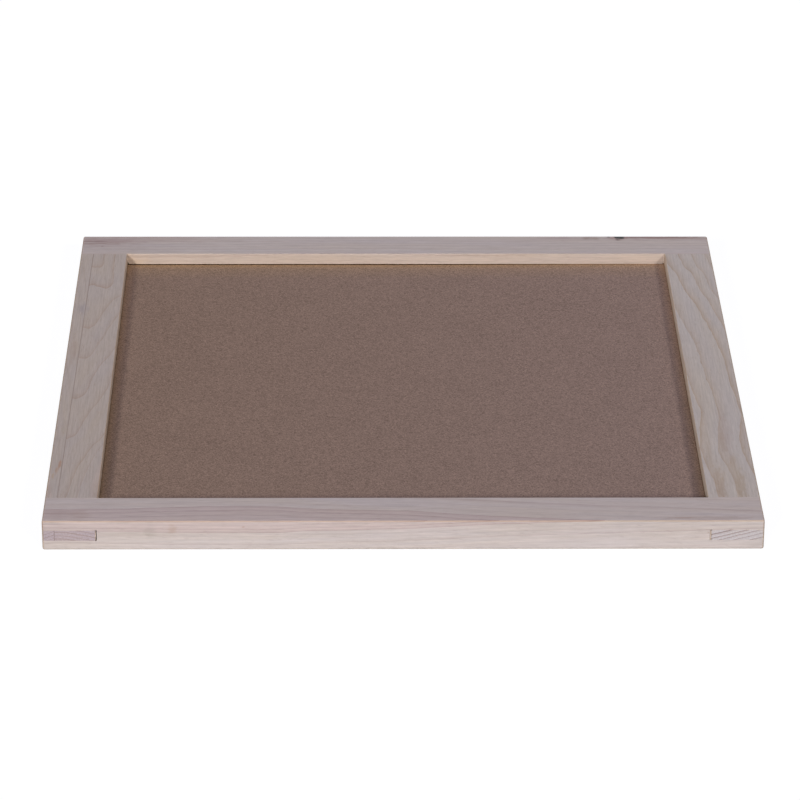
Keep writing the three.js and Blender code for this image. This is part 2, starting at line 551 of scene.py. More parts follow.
# How high each pattern stands, in millimetres
STREAK_RISE, FIBRE_RISE, LINE_RISE, CANAL_RISE, RIPPLE_RISE = 0.05, 0.03, 0.02, -0.03, 0.002

HEARTWOOD_EDGE = 0.8  # how much of the ring coordinate it takes to set in
HEARTWOOD_FADED = 0.5  # what is left of it at its far side
YEAR_CHANGE = 1.3  # how fast the tone changes from year to year
FRAY_DEPTH = (1.6, 1.6, 1.6)  # how far a unit of noise moves their edges, in shares of their reach
# Painted highlight on the rails' groove edge.
LIP_HIGHLIGHT = 1.09  # how much brighter the groove's lip is
COOL, WARM = (0.99, 1.0, 1.03), (1.01, 0.995, 0.96)  # the two tones of the wood
# The stiles' painted edge highlight is warmer than the rails' one.
STILE_WARMTH = (1.0, 0.9, 0.8)  # what the stiles' broken edges are of the rails' ones
SEAM_COLOUR = opaque(from_hex("6E5A50"))
END_LATEWOOD = opaque(from_hex("6A5456"))

# What wood fibre is to light, in boards and in hardboard alike
WOOD_IOR = 1.5
MIDDLING = (0.3, 0.7)  # most of a noise, over which the roughness changes
SPRUCE_ROUGH, END_ROUGHER, SPRUCE_GLOSS = (0.68, 0.56), 0.2, 0.45


def board_place(tree, node_name, board):
    """Object coordinates turned into the member's own u, v and d in millimetres."""
    low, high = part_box(node_name)
    edge = -low.x if board.outer_side > 0 else high.x
    if board.stile:
        origin, scale = (high.y, edge, high.z), (board.outer_side, 1.0, -1.0)
    else:
        origin, scale = (-low.x, high.y, high.z), (1.0, board.outer_side, -1.0)
    turn = math.pi / 2 if board.stile else 0.0
    here = add(tree, "ShaderNodeTexCoord").outputs
    per_mm = (1 / MM,) * 3
    mapping = [here["Object"], times(origin, per_mm), (0.0, 0.0, turn), times(scale, per_mm)]
    return add(tree, "ShaderNodeMapping", mapping), here["Normal"]


def ring_coordinate(tree, place, axes, board, seed):
    """The ring coordinate at each point of a member, wavering as a grown tree's rings do."""
    along, other = axes[board.follows], axes[1 - board.follows]
    if board.lean:
        moved = follow(tree, other, board.lean)
        along = add(tree, "ShaderNodeMath", [along, moved], operation="ADD")
    bend = follow(tree, along, board.bend)
    flat = add(tree, "ShaderNodeVectorMath", [place, board.growth], operation="DOT_PRODUCT")
    rings = add(tree, "ShaderNodeMath", [flat, bend], operation="ADD")
    for reach, stretch in zip(board.wander, RING_WAVES):
        lumps = noise(tree, place, stretch, seed)
        push = add(tree, "ShaderNodeMapRange", [lumps, LOW, HIGH, -reach, reach], clamp=False)
        rings = add(tree, "ShaderNodeMath", [rings, push], operation="ADD")
    return rings


def two_laths(tree, axes, rings, seam):
    """Sets the outer lath's rings off. Gives them, how faint each lath's are, and the seam's line."""
    start = add(tree, "ShaderNodeMath", [axes[1], seam.place], operation="SUBTRACT")
    drop = add(tree, "ShaderNodeMath", [axes[0], seam.slope], operation="MULTIPLY")
    inwards = add(tree, "ShaderNodeMath", [start, drop], operation="SUBTRACT")
    outside = add(tree, "ShaderNodeMath", [inwards, 0.0], operation="LESS_THAN")
    offset = add(tree, "ShaderNodeMath", [inwards, -seam.slant, seam.jump], operation="MULTIPLY_ADD")
    rings = add(tree, "ShaderNodeMath", [outside, offset, rings], operation="MULTIPLY_ADD")
    faint = add(tree, "ShaderNodeMapRange", [outside, 0.0, 1.0, 1.0, seam.fainter])
    gap = add(tree, "ShaderNodeMath", [inwards], operation="ABSOLUTE")
    return rings, faint, add(tree, "ShaderNodeMapRange", [gap, *SEAM_RANGE, 0.0, SEAM_DARK])


def ring_strength(tree, number, rings):
    """Reads how dark a ring's latewood is from the ring's number."""
    count = len(rings)
    half_step = 0.5 / count
    seat = add(tree, "ShaderNodeMapRange", [number, 0.0, float(count), half_step, 1.0 + half_step])
    strength = add(tree, "ShaderNodeValToRGB", [seat])
    ramp = strength.color_ramp
    ramp.interpolation = "CONSTANT"
    stops = [(i / count, ring[1]) for i, ring in enumerate(rings)]
    for place, _ in stops[1:-1]:
        ramp.elements.new(place)
    for element, (place, grey) in zip(ramp.elements, stops):
        element.position = place
        element.color = opaque((grey,) * 3)
    return strength


def latewood_of(tree, rings, board):
    """How far each point is into its ring's latewood, as a thin line and a band, and its ring."""
    index = follow(tree, rings, [(place, number) for number, (place, _) in enumerate(board.rings)])
    phase = add(tree, "ShaderNodeMath", [index], operation="FRACT")
    number = add(tree, "ShaderNodeMath", [index], operation="CEIL" if board.barkward else "FLOOR")
    if not board.barkward:
        phase = add(tree, "ShaderNodeMath", [1.0, phase], operation="SUBTRACT")
    band = add(tree, "ShaderNodeMath", [phase, board.steep], operation="POWER")
    line = add(tree, "ShaderNodeMath", [band, LINE_POWER], operation="POWER")
    strength = ring_strength(tree, number, board.rings)
    line = add(tree, "ShaderNodeMath", [line, strength], operation="MULTIPLY")
    band = add(tree, "ShaderNodeMath", [band, strength], operation="MULTIPLY")
    return line, band, index


def resin_canals(tree, place):
    """Resin canals cut lengthwise: soft brown dashes, up to 4 mm long and 0.9 mm wide."""
    cells = tuple(1 / length for length in CANAL_CELL)
    seat = add(tree, "ShaderNodeVectorMath", [place, cells], operation="MULTIPLY")
    cells = add(tree, "ShaderNodeTexVoronoi", {"Vector": seat, "Scale": 1.0})
    core = add(tree, "ShaderNodeMapRange", [cells, *CANAL_RANGE])
    chosen = [cells.outputs["Color"], CANALS_LEFT_OUT]
    chosen = add(tree, "ShaderNodeMath", chosen, operation="GREATER_THAN")
    return add(tree, "ShaderNodeMath", [core, chosen], operation="MULTIPLY")


def earlywood_of(tree, place, along, rings, index, board, seed, heartwood):
    """Each year's wood has a tone of its own, and it changes slowly along the board."""
    year = add(tree, "ShaderNodeMath", [along, 1 / YEAR_LENGTH], operation="MULTIPLY")
    year = add(tree, "ShaderNodeCombineXYZ", [year, index, float(seed)])
    year = add(tree, "ShaderNodeTexNoise", {"Vector": year, "Scale": YEAR_CHANGE, "Detail": 1.0})
    tone = noise(tree, place, TONE_PATCH, seed + 23)
    tone = add(tree, "ShaderNodeMath", [tone, year], operation="ADD")
    warm = add(tree, "ShaderNodeMapRange", [tone, *TONE_RANGE])
    pale = from_hex(board.earlywood)
    tones = [opaque(times(pale, tint)) for tint in (COOL, WARM)]
    wood = add(tree, "ShaderNodeMix", [warm, *tones], data_type="RGBA")

    start, end, depth = board.heartwood
    inside = add(tree, "ShaderNodeMapRange", [rings, start, start + HEARTWOOD_EDGE])
    fading = add(tree, "ShaderNodeMapRange", [rings, start, end, depth, HEARTWOOD_FADED * depth])
    browner = add(tree, "ShaderNodeMath", [inside, fading], operation="MULTIPLY")
    return add(tree, "ShaderNodeMix", [browner, wood, opaque(heartwood)], data_type="RGBA")


def blemished(tree, place, wood, board, seed):
    """Lays the knots and stains over the wood. Their edges are ragged along the fibres."""
    stir = noise(tree, place, FRAY, seed + 29, detail=3.0).outputs["Color"]
    stir = add(tree, "ShaderNodeVectorMath", [stir, (0.5, 0.5, 0.5)], operation="SUBTRACT")
    stir = add(tree, "ShaderNodeVectorMath", [stir, FRAY_DEPTH], operation="MULTIPLY")
    for spot in board.blemishes:
        offset = add(tree, "ShaderNodeVectorMath", [place, spot.middle], operation="SUBTRACT")
        offset = add(tree, "ShaderNodeVectorMath", [offset, spot.reach], operation="DIVIDE")
        offset = add(tree, "ShaderNodeVectorMath", [offset, stir], operation="ADD")
        reach = add(tree, "ShaderNodeVectorMath", [offset], operation="LENGTH")
        edge = [reach, *BLEMISH_RANGE, 0.0, spot.strength]
        cover = add(tree, "ShaderNodeMapRange", edge, interpolation_type="SMOOTHSTEP")
        colour = opaque(from_hex(spot.colour))
        wood = add(tree, "ShaderNodeMix", [cover, wood, colour], data_type="RGBA")
    return wood


def inner_edge(tree, wood, deep, facing, board, settings):
    """The inner edges were planed long before the frame was sanded and have turned yellower since. Their
    tint also paints warm bounce light on them, and on the stiles painted light brightens them.
    """
    unsanded_and_bounce = times(settings.unsanded_and_bounce, (board.inner,) * 3)
    inner_colour_and_light = add(tree, "ShaderNodeVectorMath", [wood, unsanded_and_bounce], operation="MULTIPLY")
    if board.stile:
        # Painted shade: low on the stiles' inner faces, by the groove, the wood is darkened where shadow
        # falls at the wall's foot.
        low_down = add(tree, "ShaderNodeMapRange", [deep, *WALL_FOOT_SHADE_RANGE])
        inner_colour_and_light = tinted(tree, low_down, inner_colour_and_light, settings.wall_foot_shade)
    else:
        # Painted highlight: the rails' thin, crisp groove edge is brightened as if it caught the light.
        lip = add(tree, "ShaderNodeMapRange", [deep, *LIP_HIGHLIGHT_RANGE, 1.0, LIP_HIGHLIGHT])
        inner_colour_and_light = {"Vector": inner_colour_and_light, "Scale": lip}
        inner_colour_and_light = add(tree, "ShaderNodeVectorMath", inner_colour_and_light, operation="SCALE")
    inner = add(tree, "ShaderNodeMapRange", [facing, *INNER_RANGE])
    return add(tree, "ShaderNodeMix", [inner, wood, inner_colour_and_light], data_type="RGBA")


def burnished_and_highlit_edges(tree, wood, normal, facing, board, settings):
    """The paper burnished the eased edges a shade browner than the faces. Round the opening a painted
    highlight brightens them.
    """
    lie = add(tree, "ShaderNodeVectorMath", [normal], operation="ABSOLUTE")
    lie = add(tree, "ShaderNodeSeparateXYZ", [lie]).outputs
    square = add(tree, "ShaderNodeMath", [lie[0], lie[1]], operation="MAXIMUM")
    square = add(tree, "ShaderNodeMath", [square, lie[2]], operation="MAXIMUM")
    eased = add(tree, "ShaderNodeMapRange", [square, *EASED_RANGE])
    wood = tinted(tree, eased, wood, settings.burnished)

    # Painted highlight: round the opening the narrow eased flats are brightened as if they caught the light.
    slant = add(tree, "ShaderNodeMapRange", [facing, *SLANT_RANGE])
    slant = add(tree, "ShaderNodeMath", [slant, eased], operation="MULTIPLY")
    painted_highlight = settings.edge_highlight
    return tinted(tree, slant, wood, times(painted_highlight, STILE_WARMTH) if board.stile else painted_highlight)


def cut_across(tree, wood, normal, line, band, board):
    """A cut across the grain drinks up the light: darker, with the rings standing out more."""
    lengthwise = (0.0, 1.0, 0.0) if board.stile else (1.0, 0.0, 0.0)
    facing = add(tree, "ShaderNodeVectorMath", [normal, lengthwise], operation="DOT_PRODUCT")
    facing = add(tree, "ShaderNodeMath", [facing], operation="ABSOLUTE")
    cut = add(tree, "ShaderNodeMapRange", [facing, *END_RANGE])
    dull = add(tree, "ShaderNodeVectorMath", [wood, board.end_grain], operation="MULTIPLY")
    late = total(tree, (line, END_LINE), (band, END_BAND))
    dull = add(tree, "ShaderNodeMix", [late, dull, END_LATEWOOD], data_type="RGBA")
    return add(tree, "ShaderNodeMix", [cut, wood, dull], data_type="RGBA"), cut


def planed_spruce(node_name, board, seed, settings):
    """Spruce off the planer, lightly sanded and left bare.

    It gives the eye a matt, silky face with soft tan bands of latewood, short fibre streaks along
    the grain and the faint ripple of the cutter, and duller ends where the fibres are cut across.
    """
    material, tree = new_material("planed_spruce_" + node_name)
    place, normal = board_place(tree, node_name, board)
    axes = add(tree, "ShaderNodeSeparateXYZ", [place]).outputs
    rings = ring_coordinate(tree, place, axes, board, seed)
    faint, seam = 1.0, 0.0
    if board.seam:
        rings, faint, seam = two_laths(tree, axes, rings, board.seam)
    line, band, index = latewood_of(tree, rings, board)
    streaks = noise(tree, place, STREAK, seed + 11, detail=3.0, roughness=0.6)
    fibres = noise(tree, place, FIBRE, seed + 17)
    canals = resin_canals(tree, place)

    wood = earlywood_of(tree, place, axes[0], rings, index, board, seed, settings.heartwood)
    dark = total(tree, (line, FACE_LINE * settings.grain), (band, FACE_BAND * settings.grain))
    dark = add(tree, "ShaderNodeMath", [dark, faint], operation="MULTIPLY")
    dark = total(tree, (dark, 1.0), (canals, CANAL_DARK))
    wood = add(tree, "ShaderNodeMix", [dark, wood, opaque(from_hex(board.latewood))], data_type="RGBA")
    reach = settings.streaks
    shade = add(tree, "ShaderNodeMapRange", [streaks, LOW, HIGH, 1 - reach, 1 + reach], clamp=False)
    fine = add(tree, "ShaderNodeMapRange", [fibres, LOW, HIGH, -reach / 2, reach / 2], clamp=False)
    shade = add(tree, "ShaderNodeMath", [shade, fine], operation="ADD")
    wood = add(tree, "ShaderNodeVectorMath", {"Vector": wood, "Scale": shade}, operation="SCALE")
    wood = blemished(tree, place, wood, board, seed)
    wood = add(tree, "ShaderNodeMix", [seam, wood, SEAM_COLOUR], data_type="RGBA")

    middle = sum(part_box(node_name), Vector()) / 2
    inward = (-math.copysign(1, middle.x), 0, 0) if board.stile else (0, -math.copysign(1, middle.y), 0)
    facing = add(tree, "ShaderNodeVectorMath", [normal, inward], operation="DOT_PRODUCT")
    wood = inner_edge(tree, wood, axes[2], facing, board, settings)
    wood = burnished_and_highlit_edges(tree, wood, normal, facing, board, settings)
    wood, cut = cut_across(tree, wood, normal, line, band, board)

    rough = add(tree, "ShaderNodeMapRange", [streaks, *MIDDLING, *SPRUCE_ROUGH])
    rough = total(tree, (rough, 1.0), (cut, END_ROUGHER))
    ripple = ripples(tree, axes[0], settings.ripple)
    raised = ((streaks, STREAK_RISE), (fibres, FIBRE_RISE), (line, LINE_RISE))
    relief = total(tree, *raised, (canals, CANAL_RISE), (ripple, RIPPLE_RISE))
    surface = {"Base Color": wood, "Roughness": rough, "IOR": WOOD_IOR}
    finish_surface(tree, surface | {"Specular IOR Level": SPRUCE_GLOSS}, relief)
    return material


class HIVECOVER_OT_finish_frame(bpy.types.Operator):
    """Gives each rail and stile the grain of its own board"""

    bl_idname = "hive_cover.finish_frame"
    bl_label = "Finish Frame Members"

    def execute(self, context):
        settings = context.scene.hive_cover.spruce
        for number, (node_name, board) in enumerate(BOARDS.items()):
            material = planed_spruce(node_name, board, SEED + 5 * number, settings)
            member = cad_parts[node_name]
            member.data.materials.clear()
            member.data.materials.append(material)
        return {"FINISHED"}


# The hardboard panel

# The patterns' sizes, in millimetres
FIBRE_STREAK = (3.2, 0.7, 0.7)
MAT_ANGLES = (12, 74, 131)  # degrees
GRAIN = (0.78, 0.78, 0.78)
CLOUD = (45, 45, 45)
SPECK_CELL = 2.4  # the room that one speck of bark has

# One slice through the pattern serves at every height, so the sheet's warp leaves it alone.
FLATTEN, SLICE = (1, 1, 0), (0.0, 0.0, 0.4)

# What each zone is of the sheet's own colour; the zones by the walls paint light and shade on it
LEFT_HALF, RIGHT_HALF = (0.97, 0.99, 0.95), (1.02, 1.07, 1.13)
BEFORE_BACK_WALL, SIDE_SHADOW, WALL_BOUNCE = (1.11, 1.09, 0.93), (0.87, 0.89, 0.88), (1.07, 0.99, 0.83)

# How far the zones reach in from the opening's walls, in millimetres
WALL_GLOW, SIDE_SHADOW_EDGE, SIDE_SHADOW_FULL, WALL_BOUNCE_REACH = 26.0, 9.0, 4.0, 7.0
GROOVE_SHADE_RANGE, GROOVE_SHADE_DARK = (-0.25, 0.05), 0.95  # across the walls' line into the groove
HALVES_RANGE = (-180.0, 180.0)  # along X, from the left half's tone to the right one's
SIDE_SHADOW_RANGE = (120.0, -150.0)  # along Y, from none to most

# How bright the patterns make it, from their lows to their highs
MAT_RANGE, FELT_SHADE = (0.45, 0.75), (-0.17, 0.21)
GRAIN_SHADE, CLOUD_SHADE, SOOT_SHADE = (-0.4, 0.4), (0.975, 1.025), (0.9, 1.06)

SPECK_RANGE, SPECK_DARK = (0.17, 0.09), 0.6  # shares of its cell, from none to full
SPECKS_LEFT_OUT = 0.5  # cells whose random value is lower have none
BARK = opaque(from_hex("4A3428"))
GROOVE_SHADE = opaque(from_hex("3E2A1E"))

# How high each pattern stands, in millimetres
FELT_RISE, GRAIN_RISE, KNUCKLE_RISE = 0.03, 0.02, 0.06

FACE_ROUGH, BACK_ROUGH, HARDBOARD_GLOSS = (0.6, 0.72), (0.75, 0.85), 0.01


def fibre_mat(tree, place, seed):
    """Felted wood fibres, from 0 to 1: three layers of short streaks that lie at different angles."""
    mat = 0.0
    for layer, degrees in enumerate(MAT_ANGLES):
        turned = add(tree, "ShaderNodeMapping", [place, (0, 0, 0), (0, 0, math.radians(degrees))])
        streaks = noise(tree, turned, FIBRE_STREAK, seed + 3 * layer)
        mat = add(tree, "ShaderNodeMath", [mat, streaks], operation="MAXIMUM")
    return mat


def bark_specks(tree, place, base):
    """Bark and knot dust: soft specks up to 0.8 mm wide, about three to the square centimetre."""
    cells = add(tree, "ShaderNodeTexVoronoi", {"Vector": place, "Scale": 1 / SPECK_CELL})
    speck = add(tree, "ShaderNodeMapRange", [cells, *SPECK_RANGE])
    chosen = [cells.outputs["Color"], SPECKS_LEFT_OUT]
    chosen = add(tree, "ShaderNodeMath", chosen, operation="GREATER_THAN")
    speck = add(tree, "ShaderNodeMath", [speck, chosen], operation="MULTIPLY")
    cover = add(tree, "ShaderNodeMath", [speck, SPECK_DARK], operation="MULTIPLY")
    return add(tree, "ShaderNodeMix", [cover, base, BARK], data_type="RGBA")


def wall_light_and_shade(tree, place, axes, base, opening):
    """Painted light and shade that the walls of the opening bring on to the sheet."""
    half_x, half_y = (size / 2 / MM for size in opening)
    # The pale wall at the back throws its warm light on to the sheet before it.
    far = add(tree, "ShaderNodeMapRange", [axes[1], half_y - WALL_GLOW, half_y])
    base = tinted(tree, far, base, BEFORE_BACK_WALL)
    # Painted shadow along the side walls, most of it towards the front.
    away = add(tree, "ShaderNodeVectorMath", [place], operation="ABSOLUTE")
    spread = add(tree, "ShaderNodeSeparateXYZ", [away]).outputs[0]
    near = add(tree, "ShaderNodeMapRange", [spread, half_x - SIDE_SHADOW_EDGE, half_x - SIDE_SHADOW_FULL])
    front = add(tree, "ShaderNodeMapRange", [axes[1], *SIDE_SHADOW_RANGE])
    near = add(tree, "ShaderNodeMath", [near, front], operation="MULTIPLY")
    base = tinted(tree, near, base, SIDE_SHADOW)
    # Painted warm bounce light round the rim, within reach of the walls, and painted shade where the rim
    # lies in the grooves.
    rim = add(tree, "ShaderNodeVectorMath", [away, (half_x, half_y, 0.0)], operation="SUBTRACT")
    rim = add(tree, "ShaderNodeSeparateXYZ", [rim]).outputs
    rim = add(tree, "ShaderNodeMath", [rim[0], rim[1]], operation="MAXIMUM")
    wall_bounce = add(tree, "ShaderNodeMapRange", [rim, -WALL_BOUNCE_REACH, 0.0])
    base = tinted(tree, wall_bounce, base, WALL_BOUNCE)
    # Painted shade in the grooves: the rim darkens where it goes under the wood.
    hidden = add(tree, "ShaderNodeMapRange", [rim, *GROOVE_SHADE_RANGE, 0.0, GROOVE_SHADE_DARK])
    return add(tree, "ShaderNodeMix", [hidden, base, GROOVE_SHADE], data_type="RGBA")


def pressed_hardboard(name, colour, seed, opening, screen_pitch=0.0):
    """Hardboard: wood fibre felted and pressed hot against a polished plate, or against a screen.

    It gives the eye an even brown with the fine mottle of its fibres, tiny dark specks of bark and
    a soft sheen. The screen side is rougher, with a print of the wires.
    """
    material, tree = new_material(name)
    place = [in_millimetres(tree), FLATTEN, SLICE]
    place = add(tree, "ShaderNodeVectorMath", place, operation="MULTIPLY_ADD")
    axes = add(tree, "ShaderNodeSeparateXYZ", [place]).outputs
    mat = fibre_mat(tree, place, seed)
    grains = noise(tree, place, GRAIN, seed + 31, detail=3.0, roughness=0.6)
    clouds = noise(tree, place, CLOUD, seed + 41)

    fine = add(tree, "ShaderNodeMapRange", [grains, LOW, HIGH, *GRAIN_SHADE], clamp=False)
    felt = add(tree, "ShaderNodeMapRange", [mat, *MAT_RANGE, *FELT_SHADE], clamp=False)
    drift = add(tree, "ShaderNodeMapRange", [clouds, LOW, HIGH, *CLOUD_SHADE], clamp=False)
    shade = total(tree, (fine, 1.0), (felt, 1.0), (drift, 1.0))
    # One half of the sheet is a little greyer than the other.
    across = add(tree, "ShaderNodeMapRange", [axes[0], *HALVES_RANGE])
    halves = [opaque(times(colour, tint)) for tint in (LEFT_HALF, RIGHT_HALF)]
    base = add(tree, "ShaderNodeMix", [across, *halves], data_type="RGBA")
    base = add(tree, "ShaderNodeVectorMath", {"Vector": base, "Scale": shade}, operation="SCALE")
    base = bark_specks(tree, place, base)
    base = wall_light_and_shade(tree, place, axes, base, opening)

    relief = total(tree, (mat, FELT_RISE), (grains, GRAIN_RISE))
    if screen_pitch:
        wires = [ripples(tree, axes[axis], screen_pitch) for axis in (0, 1)]
        knuckle = add(tree, "ShaderNodeMath", wires, operation="MULTIPLY")
        relief = total(tree, (relief, 1.0), (knuckle, KNUCKLE_RISE))
        soot = add(tree, "ShaderNodeMapRange", [knuckle, -1.0, 1.0, *SOOT_SHADE])
        base = add(tree, "ShaderNodeVectorMath", {"Vector": base, "Scale": soot}, operation="SCALE")
    rough = BACK_ROUGH if screen_pitch else FACE_ROUGH
    rough = add(tree, "ShaderNodeMapRange", [grains, *MIDDLING, *rough])
    surface = {"Base Color": base, "Roughness": rough, "IOR": WOOD_IOR}
    finish_surface(tree, surface | {"Specular IOR Level": HARDBOARD_GLOSS}, relief)
    return material


def new_geometry_tree(name, **sockets):
    """A geometry tree with named inputs of each kind, and its input and output nodes."""
    tree = bpy.data.node_groups.new(name, "GeometryNodeTree")
    for way in ("INPUT", "OUTPUT"):
        tree.interface.new_socket("Geometry", in_out=way, socket_type="NodeSocketGeometry")
    for kind, labels in sockets.items():
        for label in labels:
            tree.interface.new_socket(label, in_out="INPUT", socket_type="NodeSocket" + kind)
    return tree, add(tree, "NodeGroupInput").outputs, add(tree, "NodeGroupOutput")


def end_geometry_tree(tree, made, geometry, *coats):
    """Makes the instances real and gives them their materials, one coat over another."""
    geometry = add(tree, "GeometryNodeRealizeInstances", {"Geometry": geometry})
    for coat in coats:
        geometry = add(tree, "GeometryNodeSetMaterial", {"Geometry": geometry, **coat})
    tree.links.new(geometry.outputs[0], made.inputs[0])


def made_by(tree, name, values):
    """A piece whose mesh is what a geometry tree makes of these values."""
    piece = bpy.data.objects.new(name, bpy.data.meshes.new(name))
    bpy.context.scene.collection.objects.link(piece)
    maker = piece.modifiers.new(tree.name, "NODES")
    maker.node_group = tree
    for item in tree.interface.items_tree:
        if item.in_out == "INPUT" and item.name in values:
            maker[item.identifier] = values[item.name]
    graph = bpy.context.evaluated_depsgraph_get()
    mesh = bpy.data.meshes.new_from_object(piece.evaluated_get(graph), depsgraph=graph)
    if not mesh.polygons:
        raise RuntimeError(name + " came out empty")
    piece.modifiers.clear()
    piece.data = mesh
    mesh.name = name
    return piece


SHEET_CELLS = 90  # along each side of the sheet, so that its warp is smooth
LIFT_FROM = (0.05, -0.3)  # where the lift sets in along X and Y, as a share of the sheet's size
WAVES_PER_METRE = 7.0


def sheet_tree():
    """A flat sheet that has warped up towards one corner and waves a little."""
    tree, given, made = new_geometry_tree(
        "hardboard_sheet",
        Vector=("Size", "Middle"),
        Float=("Lift", "Waviness"),
        Material=("Face", "Back"),
    )
    block = add(tree, "GeometryNodeMeshCube", [given["Size"], SHEET_CELLS, SHEET_CELLS, 2])
    here = add(tree, "GeometryNodeInputPosition")
    size = add(tree, "ShaderNodeSeparateXYZ", [given["Size"]]).outputs
    axes = add(tree, "ShaderNodeSeparateXYZ", [here]).outputs
    rise = given["Lift"]
    for axis, start in enumerate(LIFT_FROM):
        share = add(tree, "ShaderNodeMath", [axes[axis], size[axis]], operation="DIVIDE")
        part = [share, start, 0.5]
        part = add(tree, "ShaderNodeMapRange", part, interpolation_type="SMOOTHSTEP")
        rise = add(tree, "ShaderNodeMath", [rise, part], operation="MULTIPLY")
    seeded = [here, FLATTEN, (SEED, SEED, SEED)]
    seeded = add(tree, "ShaderNodeVectorMath", seeded, operation="MULTIPLY_ADD")
    waves = {"Vector": seeded, "Scale": WAVES_PER_METRE, "Detail": 1.0}
    waves = add(tree, "ShaderNodeTexNoise", waves)
    wave = add(tree, "ShaderNodeMath", [waves, given["Waviness"], rise], operation="MULTIPLY_ADD")
    up = add(tree, "ShaderNodeCombineXYZ", [0.0, 0.0, wave])
    warped = add(tree, "GeometryNodeSetPosition", {"Geometry": block, "Offset": up})
    seated = add(tree, "GeometryNodeTransform", {"Geometry": warped, "Translation": given["Middle"]})

    # The two faces are shaded smooth and the sawn edges flat. What faces up is the pressed side.
    facing = add(tree, "ShaderNodeSeparateXYZ", [add(tree, "GeometryNodeInputNormal")]).outputs[2]
    slope = add(tree, "ShaderNodeMath", [facing], operation="ABSOLUTE")
    above = {"data_type": "FLOAT", "operation": "GREATER_THAN"}
    upward, broad = (add(tree, "FunctionNodeCompare", [way, 0.5], **above) for way in (facing, slope))
    smooth = {"Geometry": seated, "Selection": broad, "Shade Smooth": True}
    smooth = add(tree, "GeometryNodeSetShadeSmooth", smooth)
    face = {"Selection": upward, "Material": given["Face"]}
    end_geometry_tree(tree, made, smooth, {"Material": given["Back"]}, face)
    return tree


class HIVECOVER_OT_make_panel(bpy.types.Operator):
    """Makes the loose hardboard sheet, a little warped, in place of the flat one"""

    bl_idname = "hive_cover.make_panel"
    bl_label = "Make Hardboard Panel"

    def execute(self, context):
        settings = context.scene.hive_cover.panel
        low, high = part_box("hardboard_panel")
        opening = (2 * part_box("right_stile")[0].x, 2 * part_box("back_rail")[0].y)
        pitch = settings.screen_pitch
        values = {
            "Size": high - low,
            "Middle": (low + high) / 2,
            "Lift": settings.lift,
            "Waviness": settings.waviness,
            "Face": pressed_hardboard("hardboard_pressed_face", settings.face, SEED, opening),
            "Back": pressed_hardboard("hardboard_screen_back", settings.back, SEED + 3, opening, pitch),
        }
        sheet = made_by(sheet_tree(), "hardboard_sheet", values)
        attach(sheet, BODY)
        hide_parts("hardboard_panel")
        return {"FINISHED"}


# Glue in the joints

# The corner joint, in millimetres
SLOT_LOW = 6.5  # up from the underside
SLOT_HIGH = 14.0
GLUE_GAP = 0.1
CHEEK_CORNER, SHOULDER_CORNER = 1.5, 1.3  # radii that keep the films inside the rounded edges


class Bead(NamedTuple):
    """Glue in one root gap, in millimetres."""

    corner: str
    side_x: int
    side_y: int
    from_tenon: float  # how far its middle is from the tenon's inner edge
    radius: float
    depth: float  # how far its middle is behind the frame's outer face
    lobes: float  # how many swellings it has


# The front right one stands out of its gap. The front left one is about flush, and the back ones
# stand back in theirs.
BEADS = (
    Bead("front_right", 1, -1, 0.50, 0.47, 0.12, 2.0),
    Bead("front_left", -1, -1, 0.27, 0.27, 0.18, 1.0),
    Bead("back_right", 1, 1, 0.55, 0.50, 1.00, 3.0),
    Bead("back_left", -1, 1, 0.50, 0.42, 1.20, 1.0),
)
BEAD_END = 0.1  # the room at each end of a bead

# A drop fills the slot's bottom where it opens into each inner corner, over the panel.
DROP_CORNERS = ((-1, -1), (1, -1), (-1, 1), (1, 1))
DROP_INSET, DROP_RADIUS = 0.5, 0.47  # the inset is from the inner corner, along X and along Y
DROP_LOW, DROP_HIGH = 1.4, 0.05  # its ends, down from the slot's upper cheek

GLUE_CLOUD = (1.2, 1.2, 1.2)  # millimetres
CLOUD_RANGE = (0.35, 0.65)  # of their noise, from the one colour to the other
CLOUD_RISE, CLOUD_BUMP = 0.1, 0.6  # the first in millimetres
GLUE_IOR, GLUE_ROUGH = 1.47, (0.25, 0.42)
AMBER_GLUE = opaque(from_hex("B49C84"))

# A bead's form
BEAD_STEPS, BEAD_SIDES = 36, 14
WAIST = 0.62  # what is left of its radius between two swellings
TAPER = 0.25  # the power of a sine by which its ends narrow
LUMP = 0.12  # a share of its radius
LUMPS_PER_METRE = 700.0


def dried_glue(settings):
    """Joiner's glue, squeezed out and set: hard and glossy, in clouds of cream and amber."""
    material, tree = new_material("dried_joiners_glue")
    clouds = noise(tree, in_millimetres(tree), GLUE_CLOUD, SEED)
    amber = add(tree, "ShaderNodeMapRange", [clouds, *CLOUD_RANGE])
    colour = [amber, opaque(settings.colour), AMBER_GLUE]
    colour = add(tree, "ShaderNodeMix", colour, data_type="RGBA")
    rough = add(tree, "ShaderNodeMapRange", [clouds, *MIDDLING, *GLUE_ROUGH])
    surface = {"Base Color": colour, "Roughness": rough, "IOR": GLUE_IOR}
    finish_surface(tree, surface, clouds, deep=CLOUD_RISE * MM, strength=CLOUD_BUMP)
    return material


